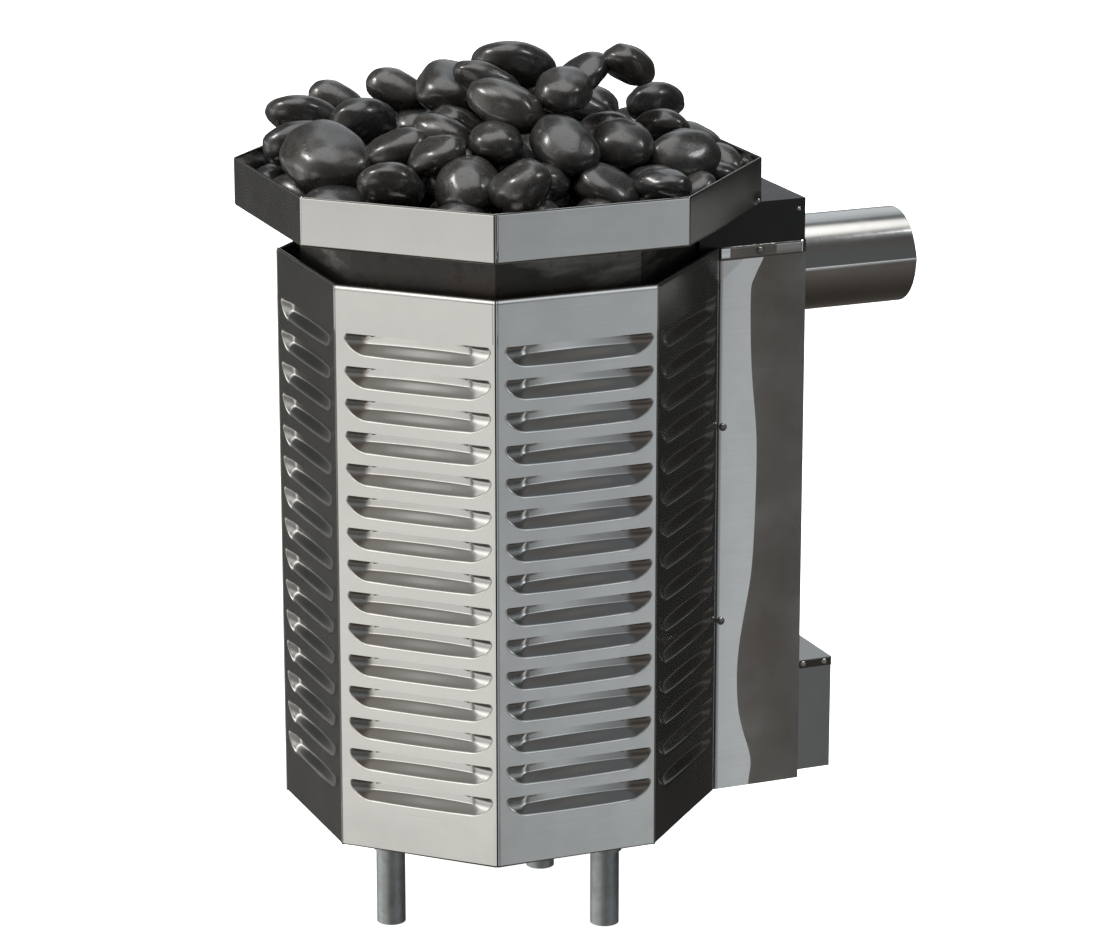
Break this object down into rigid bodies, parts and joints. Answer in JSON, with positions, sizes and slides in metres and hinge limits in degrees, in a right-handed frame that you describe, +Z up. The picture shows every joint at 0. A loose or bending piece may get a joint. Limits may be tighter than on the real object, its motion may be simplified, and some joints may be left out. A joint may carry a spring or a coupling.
{
  "type": "sauna heater stove",
  "caption": "Octagonal gas sauna heater: louvred stainless body on three tube legs, rock tray heaped with stones, rear flue box with a level flue pipe and control box.",
  "frame": {"origin": "on the floor, under the middle of the heater's bounding box", "axes": "+Z up, the louvred front faces -Y, the flue pipe leaves along +Y, +X is the side seen in the picture"},
  "size_m": [0.4824, 0.683, 0.9021],
  "materials": {
    "stainless": "brushed stainless sheet",
    "tray_steel": "brushed stainless sheet, darker at the folds",
    "galvanised": "dull galvanised steel",
    "black_paint": "black heat-proof paint",
    "hot_steel": "mill steel darkened by heat",
    "iron": "cast iron",
    "brass": "machined brass",
    "copper": "copper",
    "die_cast": "die-cast aluminium",
    "screw": "bright zinc plate",
    "black_plastic": "moulded phenolic",
    "red_plastic": "moulded plastic",
    "ceramic": "glazed ceramic",
    "lead_red": "silicone sheath",
    "lead_black": "silicone sheath",
    "rock": "polished dark stone"
  },
  "bodies": {
    "heater": {"leg_front": "galvanised", "leg_rear_left": "galvanised", "leg_rear_right": "galvanised", "leg_sockets": "galvanised", "leg_bolts": "screw", "base_pan": "hot_steel", "floor_shield": "hot_steel", "panel_front": "stainless", "panel_front_left": "stainless", "panel_front_right": "stainless", "panel_left": "stainless", "panel_right": "stainless", "panel_rear_left": "stainless", "panel_rear_right": "stainless", "corner_angles": "hot_steel", "spacer_brackets": "hot_steel", "firebox": "hot_steel", "firebox_lid": "hot_steel", "baffle": "hot_steel", "burner": "iron", "burner_brackets": "hot_steel", "orifice": "brass", "gas_manifold": "galvanised", "pilot_bracket": "hot_steel", "pilot_burner": "brass", "pilot_tube": "die_cast", "thermocouple": "copper", "spark_electrode": "ceramic", "spark_lead": "lead_red", "flue_box": "black_paint", "draft_baffle": "hot_steel", "heat_shelf": "hot_steel", "flue_collar": "hot_steel", "flue_pipe": "stainless", "hood_rivets": "black_paint", "spill_switch": "die_cast", "spill_wires": "lead_black", "side_cover_left": "stainless", "side_cover_right": "stainless", "cover_screws": "screw", "control_box": "stainless", "control_lid": "stainless", "control_screws": "screw", "gas_valve": "die_cast", "gas_inlet": "galvanised", "igniter_body": "black_plastic", "igniter_nut": "screw", "terminal_block": "ceramic", "cable_bushing": "black_plastic"},
    "tray": {"rock_tray": "tray_steel", "tray_rivet": "screw", "stones_bottom": "rock", "stones_rim": "rock", "stones_middle": "rock", "stones_slope": "rock", "stones_crown": "rock"},
    "knob": {"valve_knob": "black_plastic"},
    "reset": {"reset_button": "red_plastic"},
    "igniter": {"igniter_button": "red_plastic"},
    "shutter": {"air_shutter": "brass"}
  },
  "joints": [
    {"name": "tray_lift", "type": "slide", "parent": "heater", "child": "tray", "axis": [0, 0, 1], "range_m": [0, 0.12]},
    {"name": "knob_turn", "type": "hinge", "parent": "heater", "child": "knob", "pos_m": [0.018, 0.23845, 0.207], "axis": [0, 1, 0], "range_deg": [0, 90]},
    {"name": "reset_press", "type": "slide", "parent": "heater", "child": "reset", "axis": [0, -1, 0], "range_m": [0, 0.004], "stiffness_N_per_m": 800, "springref_m": -0.002},
    {"name": "igniter_press", "type": "slide", "parent": "heater", "child": "igniter", "axis": [0, -1, 0], "range_m": [0, 0.006], "stiffness_N_per_m": 1200, "springref_m": -0.002},
    {"name": "shutter_turn", "type": "hinge", "parent": "heater", "child": "shutter", "pos_m": [0, 0.10295, 0.187], "axis": [0, 1, 0], "range_deg": [0, 60]}
  ]
}
